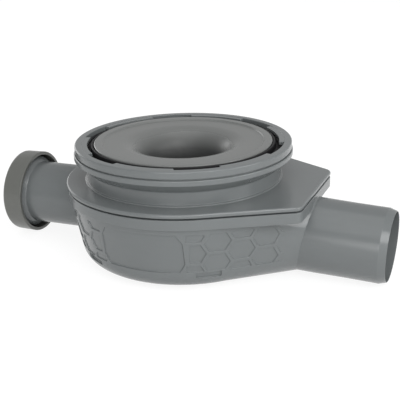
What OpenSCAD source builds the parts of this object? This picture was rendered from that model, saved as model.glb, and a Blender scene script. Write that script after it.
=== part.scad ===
// Shallow floor drain body with a side inlet, a falling outlet and a lift-out funnel trap.
// Origin: the vertical axis of the neck, at the level of the flat underside of the bowl.
// +X points along the outlet, -X along the inlet, +Z up.

/* [Bowl] */
// Outer diameter of the bowl wall where it meets its flange
bowl_top_d = 157.6; // [150:0.4:168]
// How far the wall leans in from the flange down to the underside, per side
bowl_lean_w = 8.6; // [5:0.2:12]
// Outer radius of the rounded bottom edge
bowl_edge_r = 12.5; // [8:0.5:14]
// Wall thickness of the bowl
bowl_wall = 2.4; // [2:0.1:3]
// How far the flange stands out past the wall, per side
flange_out = 1.5; // [1:0.1:3]
// Height of the flange band
flange_h = 7; // [5.6:0.2:8.4]

/* [Nose] */
// Length of the nose past the round flange
nose_len = 14; // [11:0.5:17]
// Angle in plan of the straight sides of flange and plate
nose_angle = 29.6; // [27:0.1:32]
// Corner radius of the nose in plan
nose_corner_r = 7; // [5:0.5:9]
// Distance from the end of the flange back to the foot of the nose end wall
nose_setback = 9.3; // [8:0.1:11]

/* [Outlet spigot] */
// Outer diameter of the outlet spigot
outlet_d = 50; // [48:0.5:54]
// Wall thickness of the outlet spigot
outlet_wall = 2; // [1.8:0.1:2.4]
// Length of the outlet spigot past the end of the flange
outlet_reach = 50.5; // [42:0.5:60]
// Fall of the outlet spigot in degrees
outlet_fall = 2.5; // [2:0.1:3]
// Height of the outlet spigot above the underside of the bowl, at the neck axis
outlet_lift = 1.1; // [0.6:0.1:2]
// Height of the joint of bowl and plate above the crown of the outlet, where it leaves the nose
joint_rise = 3.7; // [3.2:0.1:5]
// Length of the insertion chamfer on the outlet spigot
outlet_chamfer = 5; // [3:0.5:6]
// Width of the step where the thicker root of the spigot ends
root_step = 0.3; // [0.2:0.05:0.35]

/* [Inlet socket] */
// Bore of the side inlet socket, for a 40 mm pipe
inlet_bore_d = 40.6; // [38:0.1:42]
// Wall thickness of the inlet socket
inlet_wall = 2; // [1.8:0.1:2.4]
// Height of material between the inlet bore and the joint
inlet_cover = 0.8; // [0.6:0.1:2]
// Length of the inlet socket past the bowl wall
inlet_reach = 49.9; // [42:0.1:56]
// How far the bead for the ring seal stands out past the socket, per side
bead_rise = 3.6; // [3:0.1:4.2]
// Length of the bead
bead_len = 9.5; // [9:0.1:11]
// Length of the groove for the ring seal
groove_len = 6; // [5:0.1:7]

/* [Cover plate] */
// How far the plate stands out past the flange, per side
plate_out = 0.5; // [0.3:0.1:1]
// Thickness of the cover plate at its edge
plate_t = 2.7; // [2.2:0.1:3.2]
// Width of the open seam between plate edge and bowl flange
seam_gap = 1.2; // [0.8:0.1:1.6]
// Depth of the open seam, measured in from the edge of the flange
seam_depth = 2; // [1.5:0.1:2.4]
// Width of the bevel round the top edge of the plate
plate_bevel = 0.8; // [0.4:0.1:1.2]

/* [Neck and collar] */
// Height from the underside of the bowl to the top of the collar
body_h = 80; // [76:0.5:92]
// Outer diameter of the neck
neck_d = 132.8; // [126:0.4:136]
// Wall thickness of the neck
neck_wall = 3; // [2.4:0.1:3.4]
// How far the upper collar flange stands out past the neck, per side
collar_out = 7.4; // [6.4:0.2:8.6]
// How far the lower collar flange stands out past the upper one, per side
collar_step = 0.7; // [0.4:0.1:1.2]
// Height of the upper collar flange
upper_flange_h = 5; // [4.4:0.2:5.6]
// Height of the lower collar flange
lower_flange_h = 4; // [3.6:0.2:4.6]
// Width of the groove between the two flanges
collar_groove = 0.7; // [0.5:0.1:1]
// Height of the tapered underside between the lower flange and the neck
collar_taper = 5.5; // [4:0.5:7]
// How far the seal chamber is cut back into the collar past the bore, per side
chamber_out = 5.4; // [4.6:0.1:6]
// Depth of the seal chamber below the top of the collar
chamber_depth = 9.6; // [9:0.2:10.6]
// Width of the ledge that carries the trap insert
ledge_w = 8.4; // [7:0.2:10]

/* [Bayonet lugs] */
// Number of lugs in the collar
lug_count = 6; // [3:1:8]
// Width of each lug in degrees
lug_angle = 35; // [25:1:38]
// How far each lug reaches in from the wall of the seal chamber
lug_reach = 3.6; // [3:0.1:4.2]
// Height of each lug
lug_h = 2.4; // [2:0.1:3]

/* [Wall relief] */
// Depth of the sunk panel and honeycomb cells
relief_depth = 0.8; // [0.5:0.1:1]
// Height of the plain band under the relief
relief_z = 13; // [12:0.5:15]
// Width of the plain panel in the middle of each side, along the wall
panel_w = 57; // [50:1:62]
// Height of one honeycomb cell, across its flats
cell_h = 12.2; // [10:0.2:13.8]
// Width of one honeycomb cell, across its corners
cell_w = 17.8; // [15:0.2:19]
// Width of the wall left between two cells
cell_web = 2.4; // [1.6:0.1:3]
// Number of columns of cells on each side of the panel
cell_columns = 4; // [1:1:4]
// Length of the pockets in the foot of the wall
pocket_w = 16.5; // [10:0.5:20]
// Height of the pockets
pocket_h = 4.5; // [3.5:0.5:5.5]
// Angle from the middle of the side to each pocket
pocket_angle = 34.2; // [26:0.2:40]

/* [Funnel trap] */
// Gap between the funnel disc and the bore of the neck, per side
disc_gap = 2.6; // [2:0.1:3.4]
// Thickness of the funnel disc and its skirt
disc_t = 2; // [1.6:0.1:2.4]
// Width of the raised bead round the disc
disc_bead_w = 5.2; // [4:0.2:6]
// Step from the bead down to the dished face
disc_bead_h = 1; // [0.6:0.1:1.3]
// Slope of the dished face towards the funnel, in degrees
dish_slope = 2; // [1:0.5:4]
// Bore of the dip tube below the funnel
tube_bore_d = 48.4; // [42:0.2:52]
// Radius of the funnel throat
throat_r = 19; // [16:0.5:21]
// Clearance between the end of the dip tube and the floor of the cup
dip_gap = 10; // [8:0.5:14]
// Inner diameter of the trap cup
cup_bore_d = 70; // [64:1:78]
// Wall thickness of the trap cup
cup_wall = 1.8; // [1.5:0.1:2.2]
// Depth of the water seal, from the end of the dip tube to the rim of the cup
water_seal = 30; // [25:1:33]
// Clearance between the cup and the floor of the bowl
cup_lift = 3; // [1:0.5:5]
// Number of bayonet arms between dip tube and cup
arm_count = 3; // [2:1:4]

/* [Seals and cap] */
// Thickness of the gasket under the skirt of the funnel
gasket_t = 2; // [1.5:0.1:3]
// Clearance between a seal or plug and the hard part beside it
fit_gap = 0.2; // [0.1:0.05:0.3]
// Clearance between the bead and the inside of the inlet cap
cap_gap = 1.3; // [0.7:0.1:1.6]
// Wall thickness of the inlet cap
cap_wall = 2.4; // [2:0.1:2.8]
// Depth of the inlet cap, outside
cap_len = 15.4; // [14.5:0.1:17.5]
// Length of the plug inside the inlet cap
plug_len = 13; // [11:0.5:15]

/* [Hidden] */

$fn = 96;
grey = [0.50, 0.51, 0.51];
pale = [0.53, 0.53, 0.53];
warm = [0.42, 0.42, 0.40];
black = [0.08, 0.08, 0.09];

bowl_top_r = bowl_top_d / 2;
bowl_base_r = bowl_top_r - bowl_lean_w;
flange_r = bowl_top_r + flange_out;
nose_reach = flange_r + nose_len;
nose_foot = nose_reach - nose_setback;
outlet_len = nose_reach + outlet_reach;
outlet_z = outlet_d / 2 + outlet_lift;
joint_z = outlet_z + outlet_d / 2 - nose_foot * tan(outlet_fall) + joint_rise;
flange_z = joint_z - flange_h;
shelf_z = flange_z + bowl_wall;
wall_lean = atan2(flange_z, bowl_lean_w);
land_w = flange_out + bowl_wall;
tongue_w = land_w - seam_depth - fit_gap;
plate_r = flange_r + plate_out;
plate_z = joint_z + seam_gap;
plate_top = plate_z + plate_t;

// Leaning end of the nose, which the outlet spigot leaves
root_lean = 12;
root_proud = 0.4;
root_t = 2;
arc_steps = 8;
// The round half of the nose form lies this far inside the bowl wall, so that the true curve shows
nose_tuck = 0.15;
side_tuck = 0.02;
nose_sweep = 160;

// The honeycomb is laid out along the wall at its middle height, from the middle of the panel
relief_top = flange_z - 1.6;
relief_r = wall_at((relief_z + relief_top) / 2);
row_pitch = cell_h + cell_web;
column_pitch = cell_w - row_pitch / 2 * tan(30) + cell_web / cos(30);
panel_cut = cell_h / 2;
root_x = (nose_foot + nose_reach) / 2;
side_angle = atan2(root_x, outlet_d / 2) - acos(relief_r / norm([root_x, outlet_d / 2]));
side_arc = relief_r * side_angle * PI / 180;
pocket_top = relief_z - 0.4;
pocket_depth = bowl_wall * 0.6;

neck_r = neck_d / 2;
bore_r = neck_r - neck_wall;
ledge_r = bore_r - ledge_w;
foot_w = 1.5;
foot_h = 1;
collar_r = neck_r + collar_out;
lower_r = collar_r + collar_step;
edge_bevel = 1;
chamber_r = bore_r + chamber_out;
lug_r = chamber_r - lug_reach;
lug_drop = 0.3;
chamber_z = body_h - chamber_depth;
lower_top = body_h - upper_flange_h - collar_groove;
lower_z = lower_top - lower_flange_h;
taper_z = lower_z - collar_taper;

disc_r = bore_r - disc_gap;
skirt_z = plate_top + gasket_t;
skirt_draft = 0.4;
tube_r = tube_bore_d / 2;
dish_r = disc_r - disc_bead_w - disc_bead_h;
throat_c = tube_r + throat_r;
dish_foot_r = throat_c - throat_r * sin(dish_slope);
throat_z = body_h - disc_bead_h - (dish_r - dish_foot_r) * tan(dish_slope)
    - throat_r * cos(dish_slope);

cup_z = bowl_wall + cup_lift;
cup_r = cup_bore_d / 2;
tube_z = cup_z + cup_wall + dip_gap;
cup_top = tube_z + water_seal;
hook_h = 4;
hook_w = (cup_r - tube_r - disc_t) * 0.55;
hook_angle = 24;
hook_z = cup_top - hook_h;
arm_h = 8;
arm_w = 4;

inlet_z = joint_z - inlet_cover - inlet_bore_d / 2;
inlet_r = inlet_bore_d / 2 + inlet_wall;
inlet_start = bowl_base_r - bowl_edge_r;
inlet_len = bowl_top_r + inlet_reach;
bead_r = inlet_r + bead_rise;
bead_x = inlet_len - bead_len;
groove_r = bead_r - inlet_wall;
plug_r = inlet_bore_d / 2 - fit_gap;
cap_x = inlet_len + fit_gap + cap_wall;
cap_r = bead_r + cap_gap + cap_wall;
cap_edge = 2.4;
cap_draft = 0.4;

// Centre of a corner of the nose, for an outline round a circle of this radius
function corner_at(r) =
    let (x = nose_reach - nose_corner_r)
    [x, (r - nose_corner_r) / cos(nose_angle) - x * tan(nose_angle)];

// Straight-sided part of the plan outline; its sides lie a hair inside the circles that they join
module nose_shape(r, in = 0) {
    a = nose_angle;
    s = nose_corner_r - in - side_tuck;
    q = r - in - side_tuck;
    c = corner_at(r);
    polygon([
        [0, 0],
        [q * sin(a), -q * cos(a)],
        [c.x + s * sin(a), -c.y - s * cos(a)],
        [c.x + s, -c.y],
        [c.x + s, c.y],
        [c.x + s * sin(a), c.y + s * cos(a)],
        [q * sin(a), q * cos(a)]
    ]);
}

// Plan outline of plate and flange: a circle run out into the nose, moved in by a distance
module outline(r, in = 0) {
    c = corner_at(r);
    circle(r = r - in);
    nose_shape(r, in);
    for (side = [-1, 1])
        translate([c.x, side * c.y])
            circle(r = nose_corner_r - in);
}

// Half section of the bowl up to a height, moved in from its outer face by a distance
module bowl_section(in, top) {
    edge = bowl_edge_r - in;
    shift = in / sin(wall_lean);
    centre_x = bowl_base_r - bowl_edge_r * tan(wall_lean / 2);
    polygon(concat(
        [[0, in], [centre_x, in]],
        [for (i = [1 : arc_steps])
            let (a = wall_lean * i / arc_steps)
            [centre_x + edge * sin(a), bowl_edge_r - edge * cos(a)]],
        [[bowl_top_r - shift, flange_z], [bowl_top_r - shift, top], [0, top]]
    ));
}

module outlet_line() {
    translate([0, 0, outlet_z])
        rotate([0, 90 + outlet_fall, 0])
            children();
}

module inlet_line() {
    translate([0, 0, inlet_z])
        rotate([0, -90, 0])
            children();
}

// Leaning disc in which the nose ends, round the outlet spigot
module nose_root(in) {
    r = outlet_d / 2;
    translate([nose_foot - in, 0, outlet_z - nose_foot * tan(outlet_fall) - r])
        rotate([0, 90 + root_lean, 0])
            translate([-r / cos(root_lean), 0, -root_t])
                cylinder(r = r + root_proud - in * 1.25, h = root_t, $fn = 48);
}

// Form of the bowl moved in by a distance: the round bowl and the nose that runs into the outlet
module bowl_form(in, top) {
    rotate_extrude()
        bowl_section(in, top);
    hull() {
        rotate([0, 0, -nose_sweep / 2])
            rotate_extrude(angle = nose_sweep, $fn = 64)
                bowl_section(in + nose_tuck, shelf_z + in / 2);
        nose_root(in);
    }
}

// Puts a shape on the near wall, a distance along it from the middle of the panel:
// round as far as the straight side of the nose, and then along that side
module on_wall(d) {
    turn = min(d, side_arc) / relief_r * 180 / PI;
    rotate([0, 0, turn - 90])
        translate([0, max(d - side_arc, 0), 0])
            children();
}

// Prism that cuts a flat shape square into the wall; the shape's y is the height
module wall_cut() {
    translate([relief_r - bowl_edge_r, 0, 0])
        rotate([90, 0, 90])
            linear_extrude(2 * bowl_edge_r)
                children();
}

module cell_shape() {
    flat = cell_w - cell_h * tan(30);
    polygon([
        [cell_w / 2, 0], [flat / 2, cell_h / 2], [-flat / 2, cell_h / 2],
        [-cell_w / 2, 0], [-flat / 2, -cell_h / 2], [flat / 2, -cell_h / 2]
    ]);
}

// One column of cells, cut off at the band below and the flange above; the first is a half column
module cell_column(k, side) {
    middle = (relief_z + relief_top) / 2 - 1.5;
    rows = k % 2 == 0 ? [-1, 0, 1] : [-0.5, 0.5];
    from = k == 0 ? 0 : -cell_w;
    on_wall(side * (panel_w / 2 + cell_web * 1.6 + k * column_pitch))
        wall_cut()
            intersection() {
                for (row = rows)
                    translate([0, middle + row * row_pitch])
                        cell_shape();
                translate([side > 0 ? from : -cell_w, relief_z])
                    square([cell_w - from, relief_top - relief_z]);
            }
}

// Plain panel with its corners cut off
module panel() {
    c = panel_cut;
    w = relief_r * sin(panel_w / 2 / relief_r * 180 / PI);
    on_wall(0)
        wall_cut()
            polygon([
                [c * tan(30) - w, relief_z], [w - c * tan(30), relief_z],
                [w, relief_z + c], [w, relief_top - c],
                [w - c * tan(30), relief_top], [c * tan(30) - w, relief_top],
                [-w, relief_top - c], [-w, relief_z + c]
            ]);
}

function wall_at(z) = bowl_base_r + bowl_lean_w * z / flange_z;

// Cutter for one pocket: a prism that leans with the wall
module pocket(side) {
    low = pocket_top - pocket_h;
    far = bowl_top_r;
    rotate([0, 0, side * pocket_angle - 90])
        rotate([90, 0, 0])
            linear_extrude(pocket_w, center = true)
                polygon([
                    [wall_at(low) - pocket_depth, low], [far, low],
                    [far, pocket_top], [wall_at(pocket_top) - pocket_depth, pocket_top]
                ]);
}

module relief() {
    for (m = [0, 1])
        mirror([0, m, 0]) {
            panel();
            for (side = [-1, 1], k = [0 : cell_columns - 1])
                cell_column(k, side);
        }
}

module outlet_spigot() {
    chamfer_z = outlet_len - outlet_chamfer;
    outlet_line() {
        cylinder(r = outlet_d / 2 + root_step, h = nose_reach + root_t);
        cylinder(d = outlet_d, h = chamfer_z);
        translate([0, 0, chamfer_z])
            cylinder(d1 = outlet_d, d2 = outlet_d - outlet_wall * 1.5, h = outlet_chamfer);
    }
}

module inlet_socket() {
    inlet_line()
        rotate_extrude()
            polygon([
                [0, inlet_start],
                [inlet_r, inlet_start],
                [inlet_r, bead_x - (bead_r - inlet_r)],
                [bead_r, bead_x],
                [bead_r, inlet_len - edge_bevel],
                [bead_r - edge_bevel, inlet_len],
                [0, inlet_len]
            ]);
}

// Hollow of the inlet socket with the groove for its ring seal
module inlet_hollow() {
    r = inlet_bore_d / 2;
    inlet_line()
        rotate_extrude()
            polygon([
                [0, inlet_start - edge_bevel],
                [r, inlet_start - edge_bevel],
                [r, bead_x],
                [groove_r, bead_x],
                [groove_r, bead_x + groove_len],
                [r, bead_x + groove_len],
                [r, inlet_len + edge_bevel],
                [0, inlet_len + edge_bevel]
            ]);
}

module drain_bowl() {
    bore_start = nose_foot - 8;
    color(grey)
        difference() {
            union() {
                difference() {
                    bowl_form(0, shelf_z);
                    relief();
                }
                bowl_form(relief_depth, shelf_z);
                translate([0, 0, flange_z])
                    linear_extrude(flange_h)
                        outline(flange_r);
                outlet_spigot();
                inlet_socket();
            }
            bowl_form(bowl_wall, body_h);
            translate([0, 0, shelf_z])
                linear_extrude(body_h)
                    outline(flange_r, land_w);
            outlet_line()
                translate([0, 0, bore_start])
                    cylinder(d = outlet_d - 2 * outlet_wall, h = outlet_len);
            translate([0, 0, joint_z])
                cylinder(r = plate_r + plate_out, h = body_h);
            inlet_hollow();
            for (m = [0, 1], side = [-1, 1])
                mirror([0, m, 0])
                    pocket(side);
        }
}

// Section of neck and collar above the plate
module collar_section() {
    b = edge_bevel;
    polygon([
        [bore_r, plate_z],
        [neck_r + foot_w, plate_z],
        [neck_r + foot_w, plate_top + foot_h / 2],
        [neck_r + foot_w - foot_h / 2, plate_top + foot_h],
        [neck_r + foot_h / 4, plate_top + foot_h * 1.2],
        [neck_r, plate_top + foot_h * 1.5],
        [neck_r, taper_z - b / 2],
        [neck_r + b / 2, taper_z],
        [lower_r - b * 1.5, lower_z],
        [lower_r - b / 2, lower_z + b / 2],
        [lower_r, lower_z + b * 1.5],
        [lower_r, lower_top - b / 2],
        [lower_r - b / 2, lower_top],
        [collar_r - b, lower_top],
        [collar_r - b, lower_top + collar_groove],
        [collar_r, lower_top + collar_groove],
        [collar_r, body_h - b],
        [collar_r - b, body_h],
        [chamber_r, body_h],
        [chamber_r, chamber_z],
        [bore_r, chamber_z]
    ]);
}

module lug() {
    rotate([0, 0, -lug_angle / 2])
        rotate_extrude(angle = lug_angle)
            translate([lug_r, body_h - lug_drop - lug_h])
                square([lug_reach + edge_bevel, lug_h]);
}

// Half section of the plate with its bevelled top edge
module edge_section(r) {
    polygon([
        [0, plate_z], [r, plate_z], [r, plate_top - plate_bevel],
        [r - plate_bevel, plate_top], [0, plate_top]
    ]);
}

module plate_body() {
    c = corner_at(plate_r);
    rotate_extrude()
        edge_section(plate_r);
    for (side = [-1, 1])
        translate([c.x, side * c.y, 0])
            rotate_extrude()
                edge_section(nose_corner_r);
    translate([0, 0, plate_z])
        hull() {
            linear_extrude(plate_t - plate_bevel)
                nose_shape(plate_r);
            linear_extrude(plate_t)
                nose_shape(plate_r, plate_bevel);
        }
}

module cover_plate() {
    color(grey)
        union() {
            difference() {
                plate_body();
                translate([0, 0, plate_z - 1])
                    cylinder(r = ledge_r, h = plate_t + 2);
            }
            translate([0, 0, joint_z])
                linear_extrude(seam_gap + plate_t / 2)
                    difference() {
                        outline(flange_r, seam_depth);
                        outline(flange_r, seam_depth + tongue_w);
                    }
            rotate_extrude()
                collar_section();
            for (i = [0 : lug_count - 1])
                rotate([0, 0, (i + 0.5) * 360 / lug_count])
                    lug();
        }
}

module collar_seal() {
    outer = chamber_r - fit_gap;
    top = body_h - lug_drop - lug_h - 2 * fit_gap;
    lip = disc_r + 0.3;
    lip_top = body_h - 0.7;
    color(black)
        rotate_extrude()
            polygon([
                [bore_r + 1, chamber_z],
                [outer, chamber_z],
                [outer, top],
                [outer - 1.8, top],
                [outer - 2.4, chamber_z + 4.2],
                [lip + 1.8, chamber_z + 4.8],
                [lip + 1.5, lip_top],
                [lip, lip_top],
                [lip, chamber_z + 4.4],
                [bore_r + 0.2, chamber_z + 1.8]
            ]);
}

// Section of the funnel: bead, dished face, throat, dip tube and skirt
module funnel_section() {
    steps = 12;
    b = disc_bead_h;
    t = disc_t;
    polygon(concat(
        [[disc_r - skirt_draft, skirt_z], [disc_r, body_h - 2 * b],
            [disc_r - b, body_h], [disc_r - disc_bead_w, body_h], [dish_r, body_h - b]],
        [for (i = [0 : steps])
            let (a = (90 - dish_slope) * (1 - i / steps))
            [throat_c - throat_r * cos(a), throat_z + throat_r * sin(a)]],
        [[tube_r, tube_z], [tube_r + t, tube_z]],
        [for (i = [0 : steps])
            let (a = (90 - dish_slope) * i / steps)
            [throat_c - (throat_r - t) * cos(a), throat_z + (throat_r - t) * sin(a)]],
        [[disc_r - t - skirt_draft, body_h - b - t], [disc_r - t - skirt_draft, skirt_z]]
    ));
}

module trap_funnel() {
    reach = cup_r - fit_gap - tube_r - disc_t / 2;
    color(pale)
        union() {
            rotate_extrude()
                funnel_section();
            for (i = [0 : arm_count - 1])
                rotate([0, 0, i * 360 / arm_count])
                    translate([tube_r + disc_t / 2, -arm_w / 2, hook_z - arm_h])
                        cube([reach, arm_w, arm_h]);
        }
}

module cup_hook() {
    rotate([0, 0, -hook_angle / 2])
        rotate_extrude(angle = hook_angle)
            translate([cup_r - hook_w, hook_z])
                square([hook_w + cup_wall / 2, hook_h]);
}

module trap_cup() {
    r = cup_r + cup_wall;
    b = cup_wall;
    color(pale)
        union() {
            rotate_extrude()
                polygon([
                    [0, cup_z], [r - 2 * b, cup_z], [r, cup_z + 2 * b], [r, cup_top],
                    [cup_r, cup_top], [cup_r, cup_z + 2 * b + b / 2],
                    [r - 2 * b - b / 2, cup_z + b], [0, cup_z + b]
                ]);
            for (i = [0 : arm_count - 1])
                rotate([0, 0, i * 360 / arm_count])
                    cup_hook();
        }
}

module trap_gasket() {
    inner = ledge_r + 0.5;
    outer = bore_r - fit_gap;
    color(black)
        rotate_extrude()
            polygon([
                [inner, plate_top], [outer - 0.6, plate_top], [outer, plate_top + 0.8],
                [outer, skirt_z + 1], [disc_r + fit_gap, skirt_z + 1],
                [disc_r + fit_gap, skirt_z], [inner, skirt_z]
            ]);
}

module inlet_seal() {
    r = groove_r - fit_gap;
    x = bead_x + fit_gap;
    l = groove_len - 2 * fit_gap;
    color(black)
        inlet_line()
            rotate_extrude()
                polygon([
                    [r, x], [r, x + l], [plug_r + 1.4, x + l], [plug_r + 1.4, x + l / 2],
                    [plug_r + fit_gap, x + 0.8], [plug_r + fit_gap, x]
                ]);
}

module inlet_cap() {
    mouth = cap_x - cap_len;
    plug_x = cap_x - cap_wall - plug_len;
    end_r = cap_r - cap_draft;
    color(warm)
        inlet_line()
            rotate_extrude()
                polygon([
                    [0, cap_x - cap_wall], [plug_r - inlet_wall, cap_x - cap_wall],
                    [plug_r - inlet_wall, plug_x], [plug_r - 0.6, plug_x],
                    [plug_r, plug_x + 1.2], [plug_r, cap_x - cap_wall],
                    [cap_r - cap_wall, cap_x - cap_wall], [cap_r - cap_wall, mouth],
                    [cap_r - 0.5, mouth], [cap_r, mouth + 0.5],
                    [end_r, cap_x - cap_edge], [end_r - cap_edge * 0.3, cap_x - cap_edge * 0.3],
                    [end_r - cap_edge, cap_x], [0, cap_x]
                ]);
}

drain_bowl();
cover_plate();
collar_seal();
trap_funnel();
trap_cup();
trap_gasket();
inlet_seal();
inlet_cap();
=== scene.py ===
import math

import bmesh
import bpy
from bpy.props import FloatProperty, FloatVectorProperty, IntProperty, PointerProperty
from mathutils import Matrix, Vector
from mathutils.bvhtree import BVHTree
from mathutils.geometry import delaunay_2d_cdt


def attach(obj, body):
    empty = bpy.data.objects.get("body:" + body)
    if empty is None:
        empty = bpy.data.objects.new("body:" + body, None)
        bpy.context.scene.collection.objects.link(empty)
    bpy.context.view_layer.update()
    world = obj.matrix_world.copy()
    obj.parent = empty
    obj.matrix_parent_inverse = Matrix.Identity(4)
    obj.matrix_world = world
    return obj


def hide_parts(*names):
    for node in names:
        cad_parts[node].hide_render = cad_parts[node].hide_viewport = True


bl_info = {
    "name": "Floor Drain Body",
    "version": (1, 0, 0),
    "blender": (4, 5, 0),
    "location": "3D View > Sidebar > Floor Drain",
    "description": "Dresses the body of a shallow floor drain with a funnel trap",
    "category": "Object",
}

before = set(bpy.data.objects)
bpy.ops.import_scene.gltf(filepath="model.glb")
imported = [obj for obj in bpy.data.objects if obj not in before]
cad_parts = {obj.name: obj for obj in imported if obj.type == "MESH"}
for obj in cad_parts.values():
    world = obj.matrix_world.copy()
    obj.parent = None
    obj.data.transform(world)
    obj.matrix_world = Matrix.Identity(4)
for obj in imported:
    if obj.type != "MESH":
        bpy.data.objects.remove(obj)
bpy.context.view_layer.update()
MM = 0.001


# ---- Sizes and colours that a user would change ----


class DrainFinish(bpy.types.PropertyGroup):
    """Colours and surface of the mouldings"""

    shell: FloatVectorProperty(
        name="Shell", description="Colour of bowl, plate and collar",
        subtype="COLOR", size=3, min=0, max=1, default=(0.127, 0.137, 0.139))
    insert: FloatVectorProperty(
        name="Insert", description="Colour of the funnel and its cup",
        subtype="COLOR", size=3, min=0, max=1, default=(0.131, 0.136, 0.133))
    cap: FloatVectorProperty(
        name="Cap", description="Colour of the inlet cap",
        subtype="COLOR", size=3, min=0, max=1, default=(0.106, 0.109, 0.101))
    rubber: FloatVectorProperty(
        name="Rubber", description="Colour of the seals",
        subtype="COLOR", size=3, min=0, max=1, default=(0.006, 0.006, 0.0065))
    grain: FloatProperty(
        name="Grain", description="Height of the fine grain of the mould",
        subtype="DISTANCE", unit="LENGTH", min=0, default=0.00003)


class DrainShell(bpy.types.PropertyGroup):
    """Sizes of the two welded shells"""

    edge: FloatProperty(
        name="Edge", description="Rounding of the moulded edges",
        subtype="DISTANCE", unit="LENGTH", min=0, default=0.0004)
    relief: FloatProperty(
        name="Relief", description="Depth of the sunk panels and cells",
        subtype="DISTANCE", unit="LENGTH", min=0, default=0.0008)
    cell_height: FloatProperty(
        name="Cell height", description="Height of one honeycomb cell",
        subtype="DISTANCE", unit="LENGTH", min=0, default=0.013)
    cell_width: FloatProperty(
        name="Cell width", description="Width of one honeycomb cell across its corners",
        subtype="DISTANCE", unit="LENGTH", min=0, default=0.0178)
    cell_web: FloatProperty(
        name="Web", description="Wall left between two cells",
        subtype="DISTANCE", unit="LENGTH", min=0, default=0.0024)
    panel_width: FloatProperty(
        name="Panel", description="Width of the plain panel in the middle of each side",
        subtype="DISTANCE", unit="LENGTH", min=0, default=0.057)
    lugs: IntProperty(
        name="Lugs", description="Number of bayonet lugs in the collar", min=3, max=8, default=6)


class DrainTrap(bpy.types.PropertyGroup):
    """Sizes of the funnel trap"""

    disc: FloatProperty(
        name="Disc", description="Radius of the funnel disc",
        subtype="DISTANCE", unit="LENGTH", min=0, default=0.0608)
    tube: FloatProperty(
        name="Dip tube", description="Inner radius of the dip tube",
        subtype="DISTANCE", unit="LENGTH", min=0, default=0.0242)
    cup: FloatProperty(
        name="Cup", description="Inner radius of the trap cup",
        subtype="DISTANCE", unit="LENGTH", min=0, default=0.035)
    arms: IntProperty(
        name="Arms", description="Number of arms that carry the cup", min=2, max=4, default=3)


class DrainStage(bpy.types.PropertyGroup):
    """Floor, lamps and camera"""

    floor_size: FloatProperty(
        name="Floor", description="Width of the floor",
        subtype="DISTANCE", unit="LENGTH", min=1, default=6.0)
    lens: FloatProperty(
        name="Lens", description="Focal length on a 36 mm sensor",
        subtype="DISTANCE_CAMERA", min=10, default=78.28)


class DrainSettings(bpy.types.PropertyGroup):
    """All settings of the drain"""

    finish: PointerProperty(type=DrainFinish)
    shell: PointerProperty(type=DrainShell)
    trap: PointerProperty(type=DrainTrap)
    stage: PointerProperty(type=DrainStage)


# ---- Shader maths ----


class Wire:
    """A number in a node tree that takes part in plain arithmetic."""

    def __init__(self, paint, socket):
        self.paint = paint
        self.socket = socket

    def _math(self, operation, first, second=None):
        values = {0: first} if second is None else {0: first, 1: second}
        return self.paint.node("ShaderNodeMath", {"operation": operation}, values)["Value"]

    def __add__(self, other):
        return self._math("ADD", self, other)

    __radd__ = __add__

    def __mul__(self, other):
        return self._math("MULTIPLY", self, other)

    __rmul__ = __mul__

    def __sub__(self, other):
        return self._math("SUBTRACT", self, other)

    def __rsub__(self, other):
        return self._math("SUBTRACT", other, self)

    def clamp(self):
        return self.paint.node("ShaderNodeClamp", {}, {"Value": self})["Result"]


class Outs:
    """The output sockets of a node, as wires."""

    def __init__(self, paint, node):
        self.paint = paint
        self.node = node

    def __getitem__(self, name):
        return Wire(self.paint, self.node.outputs[name])


class Paint:
    """Builds one material."""

    def __init__(self, name):
        self.material = bpy.data.materials.new(name)
        self.material.use_nodes = True
        self.tree = self.material.node_tree
        self.tree.nodes.clear()

    def node(self, kind, settings=None, values=None):
        node = self.tree.nodes.new(kind)
        for name, value in (settings or {}).items():
            setattr(node, name, value)
        for name, value in (values or {}).items():
            self.put(node.inputs[name], value)
        return Outs(self, node)

    def put(self, socket, value):
        if isinstance(value, Wire):
            self.tree.links.new(value.socket, socket)
        else:
            socket.default_value = value

    def place(self, scale=(1, 1, 1)):
        coords = self.node("ShaderNodeTexCoord")["Object"]
        return self.node("ShaderNodeMapping", {}, {"Vector": coords, "Scale": scale})["Vector"]

    def noise(self, place, scale, detail=3.0, rough=0.5):
        return self.node("ShaderNodeTexNoise", {}, {
            "Vector": place, "Scale": scale, "Detail": detail, "Roughness": rough})["Fac"]

    def mix(self, factor, first, second):
        out = self.node("ShaderNodeMix", {"data_type": "RGBA"}, {0: factor})
        self.put(out.node.inputs[6], first)
        self.put(out.node.inputs[7], second)
        return Wire(self, out.node.outputs[2])

    def bump(self, height, distance, strength=1.0, under=None):
        values = {"Height": height, "Distance": distance, "Strength": strength}
        if under is not None:
            values["Normal"] = under
        return self.node("ShaderNodeBump", {}, values)["Normal"]

    def surface(self, **sockets):
        names = {key.replace("_", " ").title(): value for key, value in sockets.items()}
        names = {("IOR" if key == "Ior" else "Specular IOR Level" if key == "Specular Ior Level"
                  else key): value for key, value in names.items()}
        shader = self.node("ShaderNodeBsdfPrincipled", {}, names)["BSDF"]
        out = self.tree.nodes.new("ShaderNodeOutputMaterial")
        self.tree.links.new(shader.socket, out.inputs["Surface"])
        return self.material


def rgba(colour, factor=1.0):
    """Colour of a socket: a lighter or darker form of a red, green and blue value"""
    return tuple(min(1.0, c * factor) for c in colour) + (1.0,)


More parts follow.
